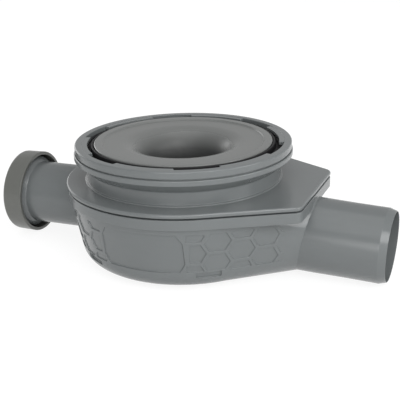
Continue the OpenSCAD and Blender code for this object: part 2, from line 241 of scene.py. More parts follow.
def moulded_plastic(name, colour, grain, roughness=0.22, shade_top=None):
    """Matt moulded plastic: cloudy pigment, fine grain, a few flow streaks and rubbed spots

    The last argument is the height below which the base colour is darkened with painted shade, deep
    inside the funnel, and the plastic is duller.
    """
    p = Paint(name)
    place = p.place()
    cloud = p.noise(place, 55.0, 4.0, 0.55)
    fine = p.noise(place, 2200.0, 2.0, 0.6)
    streak = p.noise(p.place((1.0, 1.0, 9.0)), 38.0, 5.0, 0.62)
    rub = p.noise(place, 310.0, 5.0, 0.7)
    shade = (cloud * 0.55 + streak * 0.3 + fine * 0.15).clamp()
    base = p.mix(shade, rgba(colour, 0.93), rgba(colour, 1.07))
    rough = roughness - 0.04 + cloud * 0.06 + rub * 0.03
    if shade_top is not None:
        # Painted shade: below this height the base colour darkens towards the bottom of the funnel,
        # and the roughness also rises
        height = p.node("ShaderNodeSeparateXYZ", {}, {"Vector": p.place()})["Z"]
        depth = ((shade_top - height) * 90.0).clamp()
        base = p.mix(depth, base, rgba(colour, 0.3))
        rough = rough + depth * 0.3
    waves = p.bump(p.noise(place, 26.0, 2.0, 0.4), 0.0004, 0.1)
    normal = p.bump(fine * 0.8 + rub * 0.2, grain, 0.25, waves)
    return p.surface(base_color=base, roughness=rough, normal=normal, ior=1.49,
                     specular_ior_level=0.5)


def seal_rubber(name, colour):
    """Black lip-seal rubber with faint turning marks and a bloom of dust"""
    p = Paint(name)
    place = p.place()
    bloom = p.noise(place, 160.0, 4.0, 0.6)
    fine = p.noise(place, 1900.0, 2.0, 0.5)
    rings = p.noise(p.place((1.0, 1.0, 40.0)), 60.0, 2.0, 0.5)
    base = p.mix((bloom * 0.7 + rings * 0.3).clamp(), rgba(colour, 0.8), rgba(colour, 2.4))
    rough = 0.46 + bloom * 0.16
    return p.surface(base_color=base, roughness=rough,
                     normal=p.bump(fine * 0.6 + rings * 0.4, 0.00004, 0.7),
                     specular_ior_level=0.25)


# ---- Mesh helpers ----


def weighted(mesh):
    """Mesh whose normals follow its large faces, so that flats stay flat beside a rounding"""
    mesh.shade_smooth()
    mesh.set_sharp_from_angle(angle=math.radians(40))
    piece = bpy.data.objects.new("weighting", mesh)
    bpy.context.scene.collection.objects.link(piece)
    modifier = piece.modifiers.new("weighting", "WEIGHTED_NORMAL")
    modifier.keep_sharp = True
    return apply_modifiers(piece)


def finished(mesh, name, material, slot, *nodes):
    """Links a mesh as a piece of the drain with its material, and hides these solids"""
    mesh.materials.clear()
    mesh.materials.append(material)
    piece = bpy.data.objects.new(name, mesh)
    bpy.context.scene.collection.objects.link(piece)
    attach(piece, "root")
    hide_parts(*nodes)
    return piece


def apply_modifiers(piece):
    """Mesh of a piece with its modifiers carried out; the piece itself goes"""
    graph = bpy.context.evaluated_depsgraph_get()
    mesh = bpy.data.meshes.new_from_object(piece.evaluated_get(graph))
    bpy.data.objects.remove(piece)
    return mesh


def joined(*meshes):
    """One mesh from several"""
    bm = bmesh.new()
    for mesh in meshes:
        bm.from_mesh(mesh)
    mesh = bpy.data.meshes.new("joined")
    bm.to_mesh(mesh)
    bm.free()
    return mesh


def solid_copy(node):
    """Joined copy of a CAD solid, without the seams of its tessellation"""
    bm = bmesh.new()
    bm.from_mesh(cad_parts[node].data)
    bmesh.ops.remove_doubles(bm, verts=bm.verts, dist=0.000002)
    bmesh.ops.dissolve_limit(bm, angle_limit=math.radians(0.3), verts=bm.verts, edges=bm.edges)
    return bm


def rounded(bm, edge, angle=28):
    """Mesh with its sharp edges rounded"""
    mesh = bpy.data.meshes.new("form")
    bm.to_mesh(mesh)
    bm.free()
    piece = bpy.data.objects.new("form", mesh)
    bpy.context.scene.collection.objects.link(piece)
    bevel = piece.modifiers.new("rounding", "BEVEL")
    bevel.width = edge
    bevel.segments = 2
    bevel.limit_method = "ANGLE"
    bevel.angle_limit = math.radians(angle)
    bevel.use_clamp_overlap = False
    return apply_modifiers(piece)


def fillet(points, steps=5):
    """Rounds the corners of a closed outline of (radius, height, rounding) points"""
    out = []
    count = len(points)
    for i, (x, y, r) in enumerate(points):
        here = Vector((x, y))
        before = Vector(points[i - 1][:2]) - here
        after = Vector(points[(i + 1) % count][:2]) - here
        if r <= 0 or before.length < 1e-9 or after.length < 1e-9:
            out.append((x, y))
            continue
        a, b = before.normalized(), after.normalized()
        half = math.acos(max(-1.0, min(1.0, a.dot(b)))) / 2
        if half > math.radians(88):
            out.append((x, y))
            continue
        cut = min(r / math.tan(half), before.length * 0.49, after.length * 0.49)
        r = cut * math.tan(half)
        centre = here + (a + b).normalized() * (r / math.sin(half))
        start, end = here + a * cut - centre, here + b * cut - centre
        turn = start.angle_signed(end)
        for k in range(steps + 1):
            out.append(tuple(centre + Matrix.Rotation(-turn * k / steps, 2) @ start))
    return out


def lathe(points, segments=192, turn=None):
    """Closed mesh turned from a closed outline; points on the axis become poles"""
    mesh = bpy.data.meshes.new("lathe")
    bm = bmesh.new()
    rings = []
    for r, z in fillet(points):
        if r < 1e-7:
            rings.append([bm.verts.new((0, 0, z))])
        else:
            rings.append([bm.verts.new((r * math.cos(2 * math.pi * i / segments),
                                        r * math.sin(2 * math.pi * i / segments), z))
                          for i in range(segments)])
    for j in range(len(rings)):
        low, high = rings[j], rings[(j + 1) % len(rings)]
        if len(low) == 1 and len(high) == 1:
            continue
        for i in range(segments):
            k = (i + 1) % segments
            loop = [low[i % len(low)], low[k % len(low)], high[k % len(high)], high[i % len(high)]]
            corners = []
            for v in loop:
                if v not in corners:
                    corners.append(v)
            bm.faces.new(corners)
    if turn is not None:
        bmesh.ops.transform(bm, matrix=turn, verts=bm.verts)
    bmesh.ops.recalc_face_normals(bm, faces=bm.faces)
    bm.to_mesh(mesh)
    bm.free()
    return mesh


def turned(points, segments=192, turn=None):
    """Lathe mesh from points in millimetres: radius, height and rounding"""
    return lathe([(p[0] * MM, p[1] * MM, p[2] * MM) for p in points], segments, turn)


def box(low, high):
    """Box between two corners in millimetres"""
    bm = bmesh.new()
    bmesh.ops.create_cube(bm, size=1.0)
    for v in bm.verts:
        v.co = Vector([(high[i] if v.co[i] > 0 else low[i]) * MM for i in range(3)])
    return bm


def sector(inner, outer, low, high, angle, steps=16):
    """Closed piece of a ring in millimetres, centred on the X axis"""
    bm = bmesh.new()
    rows = []
    for i in range(steps + 1):
        a = math.radians(angle * (i / steps - 0.5))
        rows.append([bm.verts.new((r * MM * math.cos(a), r * MM * math.sin(a), z * MM))
                     for r, z in ((inner, low), (outer, low), (outer, high), (inner, high))])
    for a, b in zip(rows, rows[1:]):
        for k in range(4):
            bm.faces.new((a[k], b[k], b[(k + 1) % 4], a[(k + 1) % 4]))
    bm.faces.new(rows[0])
    bm.faces.new(reversed(rows[-1]))
    bmesh.ops.recalc_face_normals(bm, faces=bm.faces)
    return bm


def ring_tree():
    """Geometry Nodes tree that sets copies of a mesh round the vertical axis"""
    tree = bpy.data.node_groups.new("set round the axis", "GeometryNodeTree")
    face = tree.interface
    face.new_socket("Geometry", in_out="INPUT", socket_type="NodeSocketGeometry")
    face.new_socket("Count", in_out="INPUT", socket_type="NodeSocketInt")
    face.new_socket("First Angle", in_out="INPUT", socket_type="NodeSocketFloat")
    face.new_socket("Material", in_out="INPUT", socket_type="NodeSocketMaterial")
    face.new_socket("Geometry", in_out="OUTPUT", socket_type="NodeSocketGeometry")
    nodes, link = tree.nodes, tree.links.new
    start = nodes.new("NodeGroupInput")
    points = nodes.new("GeometryNodePoints")
    index = nodes.new("GeometryNodeInputIndex")
    part = nodes.new("ShaderNodeMath")
    part.operation = "DIVIDE"
    whole = nodes.new("ShaderNodeMath")
    whole.operation = "MULTIPLY_ADD"
    whole.inputs[1].default_value = 2 * math.pi
    turn = nodes.new("ShaderNodeCombineXYZ")
    copies = nodes.new("GeometryNodeInstanceOnPoints")
    real = nodes.new("GeometryNodeRealizeInstances")
    paint = nodes.new("GeometryNodeSetMaterial")
    end = nodes.new("NodeGroupOutput")
    link(start.outputs["Count"], points.inputs["Count"])
    link(index.outputs[0], part.inputs[0])
    link(start.outputs["Count"], part.inputs[1])
    link(part.outputs[0], whole.inputs[0])
    link(start.outputs["First Angle"], whole.inputs[2])
    link(whole.outputs[0], turn.inputs["Z"])
    link(points.outputs[0], copies.inputs["Points"])
    link(start.outputs["Geometry"], copies.inputs["Instance"])
    link(turn.outputs[0], copies.inputs["Rotation"])
    link(copies.outputs[0], real.inputs[0])
    link(real.outputs[0], paint.inputs["Geometry"])
    link(start.outputs["Material"], paint.inputs["Material"])
    link(paint.outputs[0], end.inputs[0])
    return tree


def set_round(mesh, count, first, material):
    """Copies of a mesh round the vertical axis, as one mesh"""
    piece = bpy.data.objects.new("copies", mesh)
    bpy.context.scene.collection.objects.link(piece)
    modifier = piece.modifiers.new("copies", "NODES")
    modifier.node_group = ring_tree()
    values = {"Count": count, "First Angle": math.radians(first), "Material": material}
    for item in modifier.node_group.interface.items_tree:
        if item.in_out == "INPUT" and item.name in values:
            modifier[item.identifier] = values[item.name]
    return apply_modifiers(piece)


# ---- Wall of the bowl ----


# Sizes in millimetres and degrees, as in the solids
BOWL_Z = 44.089  # underside of the flange
TOP_R, LEAN, EDGE_R = 78.8, 8.6, 12.5  # round wall: radius at the top, taper, bottom rounding
BASE_R = TOP_R - LEAN
SLOPE = math.atan2(BOWL_Z, LEAN)
ARC_R = BASE_R - EDGE_R * math.tan(SLOPE / 2)
SKIN = 0.15  # height of the lowest ring of the nose's hull
HULL_OVER = 2.4  # rise of the hull above the wall, so that its top is never met
NOSE_FOOT, ROOT_R, ROOT_LEAN, ROOT_T = 85.0, 25.4, 12.0, 2.0  # disc that ends the nose
OUTLET_R, OUTLET_Z, FALL = 25.0, 26.1, 2.5
INLET_Z, INLET_R = 29.989, 22.3
LOW_Z, BACK = 3.0, 19.5  # edges of the fine sheet: height, and angle from the outlet
RELIEF_Z, RELIEF_TOP, RELIEF_MID = 13.0, 40.1, 27.75
PANEL_CUT = 6.0  # corners cut off the plain panel
CORNER, RIM_STEP = 0.7, 1.2  # rounding of a sunk outline, and longest step along it
POCKET_ANGLE, POCKET_DEPTH = 34.2, 1.35
POCKET = ((-8.25, 8.1), (8.25, 8.1), (8.25, 12.3), (-8.25, 12.3))
UNROLL_R = 75.0  # radius at which the wall is laid flat
GRID_TURN, RIM_CLEAR = 1.5, 0.9  # turn between grid points, and their distance from a rim
OUTSIDE, CAD_START, RIM_START = 140, 100, 40  # distances at which rays start, clear of the bowl
# Rounded edge of a sunk panel: distance out from its outline, part of its depth, tilt in degrees
LIPS = ((0.45, 0.0, 0), (0.2, 0.09, 28), (0.03, 0.36, 64), (-0.03, 0.64, 64), (-0.2, 0.91, 28),
        (-0.45, 1.0, 0))


def wall_at(z):
    """Radius of the round wall at a height"""
    return BASE_R + LEAN * z / BOWL_Z


class Form:
    """Outer face of the bowl: a round wall that leans in, and the nose round the outlet"""

    def __init__(self):
        bm = bmesh.new()
        section = [(ARC_R, SKIN)]
        for i in range(1, 17):
            a = SLOPE * i / 16
            section.append((ARC_R + (EDGE_R - SKIN) * math.sin(a),
                            EDGE_R - (EDGE_R - SKIN) * math.cos(a)))
        edge, over = TOP_R - SKIN / math.sin(SLOPE), BOWL_Z + HULL_OVER
        section += [(edge, BOWL_Z), (edge, over), (0, over), (0, SKIN)]
        for i in range(161):
            a = math.radians(i - 80)
            for r, z in section:
                if r > 0 or i == 0:
                    bm.verts.new((r * math.cos(a), r * math.sin(a), z))
        turn = math.radians(90 + ROOT_LEAN)
        low = OUTLET_Z - NOSE_FOOT * math.tan(math.radians(FALL)) - OUTLET_R
        for i in range(120):
            a = math.radians(i * 3)
            x = -OUTLET_R / math.cos(math.radians(ROOT_LEAN)) + ROOT_R * math.cos(a)
            for h in (-ROOT_T, 0.0):
                bm.verts.new((NOSE_FOOT + x * math.cos(turn) + h * math.sin(turn),
                              ROOT_R * math.sin(a),
                              low - x * math.sin(turn) + h * math.cos(turn)))
        bmesh.ops.convex_hull(bm, input=bm.verts)
        bmesh.ops.delete(bm, geom=[v for v in bm.verts if not v.link_faces], context="VERTS")
        bm.normal_update()
        self.nose = BVHTree.FromBMesh(bm)
        bm.free()

    def hit(self, start, n):
        """First point of the form on a level line that comes in along -n, and its normal"""
        z = start.z
        if z >= EDGE_R * (1 - math.cos(SLOPE)):
            r, up = wall_at(z), -math.cos(SLOPE)
        else:
            r = ARC_R + math.sqrt(EDGE_R ** 2 - (EDGE_R - z) ** 2)
            up = (z - EDGE_R) / EDGE_R
        along = start.x * n.x + start.y * n.y
        inside = along ** 2 - start.x ** 2 - start.y ** 2 + r * r
        best, point, normal = 1e9, None, None
        if inside > 0:
            best = along - math.sqrt(inside)
            point = start - n * best
            out = Vector((point.x, point.y, 0)).normalized() * math.sqrt(1 - up * up)
            normal = Vector((out.x, out.y, up))
        place, face, _, far = self.nose.ray_cast(start, -n)
        if place is not None and far < best:
            point, normal = place, face
        return point, normal

    def at(self, angle, z):
        """Point of the form in a direction from the axis, and its normal"""
        n = Vector((math.cos(angle), math.sin(angle), 0))
        return self.hit(n * OUTSIDE + Vector((0, 0, z)), n)


def clipped(shape, axis, bound, sign):
    """Part of a convex outline on one side of a line"""
    out = []
    for i, a in enumerate(shape):
        b = shape[(i + 1) % len(shape)]
        da, db = sign * (a[axis] - bound), sign * (b[axis] - bound)
        if da >= 0:
            out.append(a)
        if da * db < 0:
            t = da / (da - db)
            out.append((a[0] + (b[0] - a[0]) * t, a[1] + (b[1] - a[1]) * t))
    return out


def divided(loop, step):
    """Points of a closed outline, no further apart than a step, and its outward normals"""
    points = []
    for i, a in enumerate(loop):
        a, b = Vector(a), Vector(loop[(i + 1) % len(loop)])
        count = max(1, math.ceil((b - a).length / step))
        points += [a.lerp(b, k / count) for k in range(count)]
    out = []
    for i, p in enumerate(points):
        along = (points[(i + 1) % len(points)] - p).normalized() + (p - points[i - 1]).normalized()
        along.normalize()
        out.append((p, Vector((along.y, -along.x))))
    return out


def inside(p, ring):
    """Whether a point lies in an outline"""
    odd = False
    for a, b in zip(ring, ring[1:] + ring[:1]):
        if (a.y > p.y) != (b.y > p.y) and p.x < a.x + (b.x - a.x) * (p.y - a.y) / (b.y - a.y):
            odd = not odd
    return odd


def relief_shapes(s):
    """Outlines sunk into the near wall: place along it, shape, depth and whether it fades out"""
    height, width, web, panel = (v / MM for v in (s.cell_height, s.cell_width, s.cell_web,
                                                  s.panel_width))
    deep = s.relief / MM
    r = wall_at(RELIEF_MID)
    pitch = height + web
    column = width - pitch / 2 * math.tan(math.pi / 6) + web / math.cos(math.pi / 6)
    half, c = r * math.sin(panel / 2 / r), PANEL_CUT
    t = c * math.tan(math.pi / 6)
    shapes = [(0.0, [(t - half, RELIEF_Z), (half - t, RELIEF_Z), (half, RELIEF_Z + c),
                     (half, RELIEF_TOP - c), (half - t, RELIEF_TOP), (t - half, RELIEF_TOP),
                     (-half, RELIEF_TOP - c), (-half, RELIEF_Z + c)], deep, 0)]
    flat = width - height * math.tan(math.pi / 6)
    for side in (-1, 1):
        for k in range(5):
            for row in ((-1, 0, 1), (-0.5, 0.5))[k % 2]:
                z = RELIEF_MID - 1.5 + row * pitch
                shape = [(width / 2, z), (flat / 2, z + height / 2), (-flat / 2, z + height / 2),
                         (-width / 2, z), (-flat / 2, z - height / 2), (flat / 2, z - height / 2)]
                shape = clipped(clipped(shape, 1, RELIEF_Z, 1), 1, RELIEF_TOP, -1)
                if k == 0:
                    left = -2.0 if row == 0 else -4.4
                    shape = clipped(shape, 0, left * side, side)
                if k == 4:
                    shape = clipped(shape, 0, -side * 1.5, -side)
                if len(shape) > 2:
                    d = panel / 2 + web * 1.6 + 1.8 + k * (column - 0.15)
                    shapes.append((side * d, shape, deep, side if k == 4 else 0))
    for side in (-1, 1):
        shapes.append((side * math.radians(POCKET_ANGLE) * r, list(POCKET), POCKET_DEPTH, 0))
    return shapes


class Sheet:
    """Points of the wall: their place on the unrolled wall, in space, and their normals"""

    def __init__(self):
        self.flat, self.places, self.normals, self.edges = [], [], [], []

    def add(self, point, place, normal):
        """Adds a point of the form with its final place; gives its number"""
        angle = math.atan2(point.y, point.x)
        if angle > 0:
            angle -= 2 * math.pi
        self.flat.append(Vector((angle * UNROLL_R, point.z)))
        self.places.append(place)
        self.normals.append(normal)
        return len(self.flat) - 1

    def close(self, ring):
        """Adds the edges of a closed outline"""
        self.edges += list(zip(ring, ring[1:] + ring[:1]))


def sink(sheet, form, shape, depth, fade, n, t, centre, mirror):
    """Adds the rounded rim of one sunk panel; gives the outline of its floor"""
    # The rim of a deep pocket is sharper than that of the shallow relief
    lip = 1.0 if depth < POCKET_DEPTH else 0.4
    ends = [p[0] for p in shape]
    end = max(ends) if fade > 0 else min(ends)
    wide = max(ends) - min(ends)
    area = sum(a[0] * b[1] - b[0] * a[1] for a, b in zip(shape, shape[1:] + shape[:1]))
    shape = shape if area > 0 else shape[::-1]
    flip = Vector((1, mirror, 1))
    base = divided(fillet([(x, z, CORNER) for x, z in shape], 4), RIM_STEP)
    for out, part, tilt in LIPS:
        ring = []
        for p, m in base:
            q = p + m * (out * lip)
            start = centre + t * q.x + n * RIM_START
            start.z = q.y
            point, normal = form.hit(start, n)
            left = min(1.0, abs(q.x - end) / wide * 1.5) if fade else 1.0
            lean = math.radians(tilt) * left
            facing = normal * math.cos(lean) - (t * m.x + Vector((0, 0, m.y))) * math.sin(lean)
            ring.append(sheet.add(point * flip, (point - normal * depth * part * left) * flip,
                                  facing.normalized() * flip))
        sheet.close(ring)
    return [sheet.flat[i] for i in ring], depth, fade * mirror


def add_grid(sheet, form, floors):
    """Adds the points that carry the curve of the wall, clear of the rims"""
    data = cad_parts["drain_bowl"].data
    cad = BVHTree.FromPolygons([v.co for v in data.vertices], [p.vertices for p in data.polygons])
    near = {}
    for p in sheet.flat:
        near.setdefault((math.floor(p.x), math.floor(p.y)), []).append(p)
    boxes = [(min(p.x for p in r), max(p.x for p in r), min(p.y for p in r),
              max(p.y for p in r), r, depth, fade) for r, depth, fade in floors]
    count = round((360 - 2 * BACK) / GRID_TURN)
    rows = [LOW_Z, 3.8, 4.6, 5.4, 6.2, 7.0, 7.8, 9.0, 10.1, 11.5]
    rows += [13 + 31.2 * i / 12 for i in range(13)]
    for i in range(count + 1):
        angle = math.radians(-BACK - (360 - 2 * BACK) * i / count)
        n = Vector((math.cos(angle), math.sin(angle), 0))
        for j, z in enumerate(rows):
            here = Vector((angle * UNROLL_R, z))
            rim = i in (0, count) or j == 0
            x, y = math.floor(here.x), math.floor(z)
            if not rim and any((here - p).length < RIM_CLEAR for a in (-1, 0, 1) for b in (-1, 0, 1)
                               for p in near.get((x + a, y + b), ())):
                continue
            point, normal = form.at(angle, z)
            place = point
            if rim:
                found = cad.ray_cast((n * CAD_START + Vector((0, 0, z))) * MM, -n)[0]
                if found is not None and (found / MM - point).length < 0.3:
                    place = found / MM
            for low, high, bottom, top, ring, depth, fade in boxes:
                if low < here.x < high and bottom < z < top and inside(here, ring):
                    left = high - here.x if fade > 0 else here.x - low
                    left = min(1.0, left / (high - low) * 1.5) if fade else 1.0
                    place = point - normal * depth * left
            sheet.add(point, place, normal)


def wall_mesh(s):
    """The outer wall of the bowl with its sunk panels, as one fine open sheet"""
    form, sheet, floors = Form(), Sheet(), []
    r = wall_at(RELIEF_MID)
    root_x = NOSE_FOOT + 4.65
    side = math.atan2(root_x, OUTLET_R) - math.acos(r / math.hypot(root_x, OUTLET_R))
    for d, shape, depth, fade in relief_shapes(s):
        turn = min(d / r, side) - math.pi / 2
        n = Vector((math.cos(turn), math.sin(turn), 0))
        t = Vector((-n.y, n.x, 0))
        centre = n * r + t * max(d - side * r, 0.0)
        for mirror in (1, -1):
            floors.append(sink(sheet, form, shape, depth, fade, n, t, centre, mirror))
    hole = []
    for k in range(96):
        a = 2 * math.pi * k / 96
        start = Vector((-OUTSIDE, (INLET_R - 1) * math.cos(a),
                        INLET_Z + (INLET_R - 1) * math.sin(a)))
        point, normal = form.hit(start, Vector((-1, 0, 0)))
        hole.append(sheet.add(point, point, normal))
    sheet.close(hole)
    add_grid(sheet, form, floors)
    found = delaunay_2d_cdt(sheet.flat, sheet.edges, [], 0, 0.00001, True)
    source = [ids[0] if ids else -1 for ids in found[3]]
    faces = []
    for face in found[2]:
        ids = [source[v] for v in face]
        if min(ids) < 0 or len(set(ids)) < 3:
            continue
        middle = sum((sheet.places[i] for i in ids), Vector()) / len(ids)
        if middle.x > 0 or math.hypot(middle.y, middle.z - INLET_Z) > INLET_R - 1:
            faces.append(ids)
    mesh = bpy.data.meshes.new("wall")
    mesh.from_pydata([p * MM for p in sheet.places], [], faces)
    mesh.shade_smooth()
    mesh.normals_split_custom_set_from_vertices([n.normalized() for n in sheet.normals])
    return mesh


def shell_without_wall():
    """The CAD bowl with the outer face of its wall taken out, where the fine sheet takes over"""
    bm = solid_copy("drain_bowl")
    form = Form()
    cuts = [((0, 0, LOW_Z * MM), (0, 0, 1))]
    for a in (math.radians(BACK), -math.radians(BACK)):
        cuts.append(((0, 0, 0), (-math.sin(a), math.cos(a), 0)))
    for place, normal in cuts:
        parts = bm.verts[:] + bm.edges[:] + bm.faces[:]
        bmesh.ops.bisect_plane(bm, geom=parts, dist=1e-7, plane_co=place, plane_no=normal)
    fall = math.radians(FALL)
    line = Vector((math.cos(fall), 0, -math.sin(fall)))
    foot = Vector((0, 0, OUTLET_Z))

    def on_spigot(v):
        along = (v.co / MM - foot).dot(line)
        out = (v.co / MM - foot - line * along).length
        return along > NOSE_FOOT - 9 and out < OUTLET_R + 0.35

    gone = [face for face in bm.faces if all(on_spigot(v) for v in face.verts)]
    for face in bm.faces:
        c = face.calc_center_median() / MM
        angle = math.atan2(c.y, c.x)
        if c.z < LOW_Z or c.z > BOWL_Z - 0.01 or abs(angle) < math.radians(BACK):
            continue
        if face in gone:
            continue
        deep = form.at(angle, c.z)[0].xy.length - c.xy.length
        if -0.06 < deep < 1.8:
            gone.append(face)
    bmesh.ops.delete(bm, geom=gone, context="FACES")
    return bm


# ---- Pieces ----


def inlet_line():
    """Turns a lathe mesh on to the line of the inlet, with its heights outward along -X"""
    return Matrix.Translation((0, 0, INLET_Z * MM)) @ Matrix.Rotation(-math.pi / 2, 4, "Y")


class DRAIN_OT_bowl(bpy.types.Operator):
    """Makes the bowl with its outlet spigot and inlet socket"""

    bl_idname = "drain.bowl"
    bl_label = "Bowl"

    def execute(self, context):
        s = context.scene.drain
        paint = moulded_plastic("shell_plastic", s.finish.shell, s.finish.grain)
        fall = Matrix.Rotation(math.radians(90 + FALL), 4, "Y")
        line = Matrix.Translation((0, 0, OUTLET_Z * MM)) @ fall
        spigot = turned([
            (23.0, 74.0, 0), (25.28, 74.0, 0), (25.28, 97.0, 40), (25.0, 118.0, 40),
            (25.0, 139.8, 0.9), (23.5, 144.8, 0.5), (23.0, 144.8, 0.3)], turn=line)
        body = weighted(joined(rounded(shell_without_wall(), s.shell.edge), spigot))
        finished(body, "bowl", paint, "shell", "drain_bowl")
        finished(wall_mesh(s.shell), "bowl_wall", paint, "shell", "drain_bowl")
        return {"FINISHED"}


def plate_slab(edge):
    """The flat of the cover plate with its tongue, without neck and collar"""
    bm = solid_copy("cover_plate")
    top = max(f.calc_center_median().z for f in bm.faces
              if f.normal.z > 0.99 and f.calc_center_median().z < 0.06)
    gone = [f for f in bm.faces if f.calc_center_median().z > top + 0.00005]
    bmesh.ops.delete(bm, geom=gone, context="FACES")
    return rounded(bm, edge)


class DRAIN_OT_plate(bpy.types.Operator):
    """Makes the cover plate with neck, collar and lugs"""

    bl_idname = "drain.plate"
    bl_label = "Cover plate"

    def execute(self, context):
        s = context.scene.drain
        paint = moulded_plastic("plate_plastic", s.finish.shell, s.finish.grain)
        neck = turned([
            (63.4, 54.4, 0), (67.9, 54.4, 0), (67.9, 55.7, 0.5), (66.5, 56.1, 0.35),
            (66.4, 58.5, 0), (66.4, 64.6, 1.6), (73.4, 70.1, 0.6), (74.5, 70.9, 0.9),
            (74.5, 74.3, 0.7), (72.8, 74.3, 0.1), (72.8, 75.0, 0.1), (73.8, 75.0, 0.5),
            (73.8, 80.0, 1.1), (68.8, 80.0, 0.5), (68.8, 70.4, 0.3), (63.4, 70.4, 0.5)])
        lug = rounded(sector(65.2, 69.8, 77.3, 79.7, 35), 0.00035)
        lugs = set_round(lug, s.shell.lugs, 30, paint)
        mesh = weighted(joined(plate_slab(s.shell.edge * 1.2), neck, lugs))
        finished(mesh, "plate", paint, "shell", "cover_plate")
        return {"FINISHED"}


PAINTED_SHADE_TOP = 0.077  # height in metres below which the inside of the funnel is darkened with painted shade


class DRAIN_OT_trap(bpy.types.Operator):
    """Makes the funnel with its dip tube and the cup below it"""

    bl_idname = "drain.trap"
    bl_label = "Funnel trap"

    def execute(self, context):
        s = context.scene.drain
        paint = moulded_plastic("insert_plastic", s.finish.insert, s.finish.grain, 0.24,
                                PAINTED_SHADE_TOP)
        disc, tube, cup = s.trap.disc / MM, s.trap.tube / MM, s.trap.cup / MM
        slope, throat, top, wall = math.radians(2), 19.0, 79.0, 2.0
        throat_x = tube + throat
        dish = disc - 6.2
        foot = throat_x - throat * math.sin(slope)
        throat_z = top - (dish - foot) * math.tan(slope) - throat * math.cos(slope)
        turns = [(math.pi / 2 - slope) * i / 14 for i in range(15)]
        outline = [(disc - 0.4, 56.99, 0), (disc, 80.0, 1.0), (disc - 5.2, 80.0, 0.8),
                   (dish, top, 0.8)]
        outline += [(throat_x - throat * math.cos(a), throat_z + throat * math.sin(a), 0)
                    for a in reversed(turns)]
        outline += [(tube, 17.2, 0.4), (tube + wall, 17.2, 0.4)]
        outline += [(throat_x - (throat - wall) * math.cos(a),
                     throat_z + (throat - wall) * math.sin(a), 0) for a in turns]
        outline += [(disc - wall - 0.4, top - wall, 0.6), (disc - wall - 0.4, 56.99, 0)]
        reach = cup - 0.2
        arm = rounded(box((tube + 1, -2, 35.2), (reach, 2, 43.2)), 0.0004)
        arms = set_round(arm, s.trap.arms, 0, paint)
        funnel = weighted(joined(turned(outline), arms))
        finished(funnel, "funnel", paint, "insert", "trap_funnel")

        shell = turned([(0, 5.4, 0), (cup - 1.8, 5.4, 1.5), (cup + 1.8, 9.0, 1.5),
                        (cup + 1.8, 47.2, 0.5), (cup, 47.2, 0.4), (cup, 9.9, 1.5),
                        (cup - 2.7, 7.2, 1.5), (0, 7.2, 0)])
        hook = rounded(sector(cup - 4.84, cup + 0.9, 43.2, 47.2, 24), 0.0003)
        hooks = set_round(hook, s.trap.arms, 0, paint)
        finished(weighted(joined(shell, hooks)), "cup", paint, "insert", "trap_cup")
        return {"FINISHED"}


class DRAIN_OT_seals(bpy.types.Operator):
    """Makes the three rubber seals"""

    bl_idname = "drain.seals"
    bl_label = "Seals"

    def execute(self, context):
        paint = seal_rubber("seal_rubber", context.scene.drain.finish.rubber)
        collar = turned([
            (64.4, 70.4, 0.2), (68.6, 70.4, 0.2), (68.6, 76.9, 0.4), (66.8, 76.9, 0.4),
            (66.2, 74.6, 0.8), (62.9, 75.2, 0.5), (62.6, 79.3, 0.6), (61.1, 79.3, 0.6),
            (61.1, 74.8, 0.6), (63.6, 72.2, 0.5)])
        gasket = turned([
            (55.5, 54.99, 0.2), (62.6, 54.99, 0.2), (63.2, 55.79, 0.3), (63.2, 57.99, 0.3),
            (61.0, 57.99, 0.2), (61.0, 56.99, 0), (55.5, 56.99, 0.4)])
        inlet = turned([
            (23.7, 119.4, 0.3), (23.7, 125.0, 0.3), (21.5, 125.0, 0.4), (21.5, 122.2, 0.6),
            (20.3, 120.2, 0.2), (20.3, 119.4, 0.1)], turn=inlet_line())
        for name, mesh, node in (("collar_ring", collar, "collar_seal"),
                                 ("gasket", gasket, "trap_gasket"),
                                 ("inlet_ring", inlet, "inlet_seal")):
            finished(weighted(mesh), name, paint, "seal", node)
        return {"FINISHED"}


class DRAIN_OT_cap(bpy.types.Operator):
    """Makes the cap on the inlet"""

    bl_idname = "drain.cap"
    bl_label = "Inlet cap"

    def execute(self, context):
        s = context.scene.drain
        paint = moulded_plastic("cap_plastic", s.finish.cap, s.finish.grain, 0.3)
        mesh = turned([
            (0, 128.9, 0), (18.1, 128.9, 0.5), (18.1, 115.9, 0.5), (19.5, 115.9, 0.3),
            (20.1, 117.1, 0.3), (20.1, 128.9, 0.5), (27.2, 128.9, 0.5), (27.2, 115.9, 0.4),
            (29.6, 115.9, 0.6), (29.2, 131.3, 2.4), (0, 131.3, 0)], turn=inlet_line())
        finished(weighted(mesh), "cap", paint, "cap", "inlet_cap")
        return {"FINISHED"}


# ---- Stage ----


WORLD_LEVEL = 0.55
LAMP_AIM = Vector((0, 0, 0.04))
# Name, place, width in metres and power in watts
LAMPS = (
    ("key", (0.9, -0.9, 1.0), 0.9, 9.4),
    ("low", (0.3, -1.5, 0.35), 0.9, 7),
    ("side", (1.5, -0.1, 0.5), 0.9, 9),
    ("top", (0.0, 0.0, 1.5), 1.2, 2.8),
    ("high", (0.1, -0.9, 1.3), 0.9, 1.7),
    ("rear", (-1.3, 0.8, 0.35), 0.9, 3))
# Lowest points of the drain, on which it stands: edge of the cap and end of the outlet
CAP_X, CAP_Z, TOE_X, TOE_Z = -0.1308, 0.0004, 0.1386, -0.00497
FLOOR_GAP = 0.0001
# The camera of the photograph: turn, rise and roll in degrees, and place in metres
CAMERA_TURNS = (22.0247, 19.7688, -1.3152)
CAMERA_PLACE = Vector((0.224269, -0.526383, 0.241091))


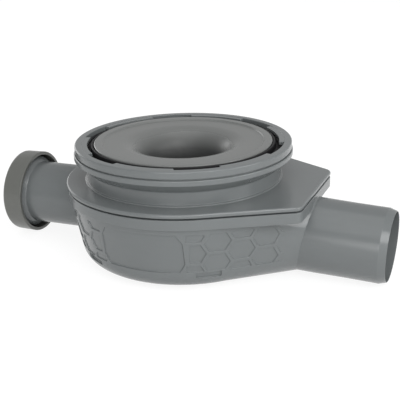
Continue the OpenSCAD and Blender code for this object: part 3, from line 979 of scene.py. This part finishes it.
def floor_paint():
    """Pale floor: white to the eye of the camera, with the shadow of the drain left in"""
    p = Paint("stage_floor")
    path = p.node("ShaderNodeLightPath")
    seen = (path["Is Camera Ray"] + path["Is Glossy Ray"] + path["Is Transmission Ray"]).clamp()
    speckle = p.noise(p.place(), 30.0, 2.0, 0.5)
    tone = p.mix(speckle, (0.86, 0.86, 0.86, 1), (0.88, 0.88, 0.88, 1))
    matt = p.node("ShaderNodeBsdfDiffuse", {}, {"Color": tone})["BSDF"]
    white = p.node("ShaderNodeEmission", {}, {"Color": (1, 1, 1, 1), "Strength": 1.1})["Emission"]
    both = p.node("ShaderNodeMixShader", {}, {0: seen * 0.8, 1: matt, 2: white})["Shader"]
    out = p.tree.nodes.new("ShaderNodeOutputMaterial")
    p.tree.links.new(both.socket, out.inputs["Surface"])
    return p.material


def white_world(scene, strength):
    """White surroundings: full white to the camera, a plain level for the light they give"""
    world = bpy.data.worlds.new("studio")
    scene.world = world
    world.use_nodes = True
    tree = world.node_tree
    tree.nodes.clear()
    path = tree.nodes.new("ShaderNodeLightPath")
    seen = tree.nodes.new("ShaderNodeMath")
    seen.operation = "MAXIMUM"
    tree.links.new(path.outputs["Is Camera Ray"], seen.inputs[0])
    tree.links.new(path.outputs["Is Transmission Ray"], seen.inputs[1])
    plain = tree.nodes.new("ShaderNodeBackground")
    plain.inputs["Color"].default_value = (1, 1, 1, 1)
    plain.inputs["Strength"].default_value = strength
    white = tree.nodes.new("ShaderNodeBackground")
    white.inputs["Color"].default_value = (1, 1, 1, 1)
    white.inputs["Strength"].default_value = 1.0
    both = tree.nodes.new("ShaderNodeMixShader")
    tree.links.new(seen.outputs[0], both.inputs[0])
    tree.links.new(plain.outputs[0], both.inputs[1])
    tree.links.new(white.outputs[0], both.inputs[2])
    out = tree.nodes.new("ShaderNodeOutputWorld")
    tree.links.new(both.outputs[0], out.inputs["Surface"])


def lamp(name, place, size, power):
    """Round soft lamp that looks at the drain"""
    data = bpy.data.lights.new(name, "AREA")
    data.shape = "DISK"
    data.size = size
    data.energy = power
    thing = bpy.data.objects.new(name, data)
    bpy.context.scene.collection.objects.link(thing)
    thing.location = place
    thing.rotation_euler = (LAMP_AIM - Vector(place)).to_track_quat("-Z", "Y").to_euler()


class DRAIN_OT_stage(bpy.types.Operator):
    """Makes the floor, the lamps and the camera"""

    bl_idname = "drain.stage"
    bl_label = "Stage"

    def execute(self, context):
        s = context.scene.drain.stage
        half = s.floor_size / 2
        slope = (TOE_Z - CAP_Z) / (TOE_X - CAP_X)
        bm = bmesh.new()
        corners = [(-half, -half), (half, -half), (half, half), (-half, half)]
        bm.faces.new([bm.verts.new((x, y, CAP_Z + (x - CAP_X) * slope - FLOOR_GAP))
                      for x, y in corners])
        mesh = bpy.data.meshes.new("floor")
        bm.to_mesh(mesh)
        bm.free()
        mesh.materials.append(floor_paint())
        floor = bpy.data.objects.new("floor", mesh)
        context.scene.collection.objects.link(floor)

        white_world(context.scene, WORLD_LEVEL)
        for name, place, size, power in LAMPS:
            lamp(name, place, size, power)

        data = bpy.data.cameras.new("camera")
        data.sensor_width = 36.0
        data.lens = s.lens
        data.clip_start, data.clip_end = 0.01, 100.0
        camera = bpy.data.objects.new("camera", data)
        context.scene.collection.objects.link(camera)
        turn, rise, roll = (math.radians(v) for v in CAMERA_TURNS)
        back = Vector((math.sin(turn) * math.cos(rise), -math.cos(turn) * math.cos(rise),
                       math.sin(rise)))
        right = Vector((math.cos(turn), math.sin(turn), 0))
        up = back.cross(right)
        right, up = (math.cos(roll) * right + math.sin(roll) * up,
                     math.cos(roll) * up - math.sin(roll) * right)
        pose = Matrix((right, up, back)).transposed().to_4x4()
        pose.translation = CAMERA_PLACE
        camera.matrix_world = pose
        context.scene.camera = camera
        context.scene.view_settings.view_transform = "Standard"
        return {"FINISHED"}


PIECES = [DRAIN_OT_bowl, DRAIN_OT_plate, DRAIN_OT_trap, DRAIN_OT_seals, DRAIN_OT_cap,
          DRAIN_OT_stage]
GROUPS = [DrainFinish, DrainShell, DrainTrap, DrainStage, DrainSettings]


class DRAIN_PT_panel(bpy.types.Panel):
    """Buttons for the pieces and the stage"""

    bl_idname = "DRAIN_PT_panel"
    bl_label = "Floor Drain"
    bl_space_type = "VIEW_3D"
    bl_region_type = "UI"
    bl_category = "Floor Drain"

    def draw(self, context):
        for piece in PIECES:
            self.layout.operator(piece.bl_idname)


def register():
    """Registers the settings, the operators and the panel"""
    for group in GROUPS:
        bpy.utils.register_class(group)
    bpy.types.Scene.drain = PointerProperty(type=DrainSettings)
    for piece in PIECES + [DRAIN_PT_panel]:
        bpy.utils.register_class(piece)


def unregister():
    """Takes the panel, the operators and the settings out again"""
    for piece in reversed(PIECES + [DRAIN_PT_panel]):
        bpy.utils.unregister_class(piece)
    del bpy.types.Scene.drain
    for group in reversed(GROUPS):
        bpy.utils.unregister_class(group)


def main():
    """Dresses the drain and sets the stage"""
    register()
    bpy.ops.drain.bowl()
    bpy.ops.drain.plate()
    bpy.ops.drain.trap()
    bpy.ops.drain.seals()
    bpy.ops.drain.cap()
    bpy.ops.drain.stage()


if __name__ == "__main__":
    main()
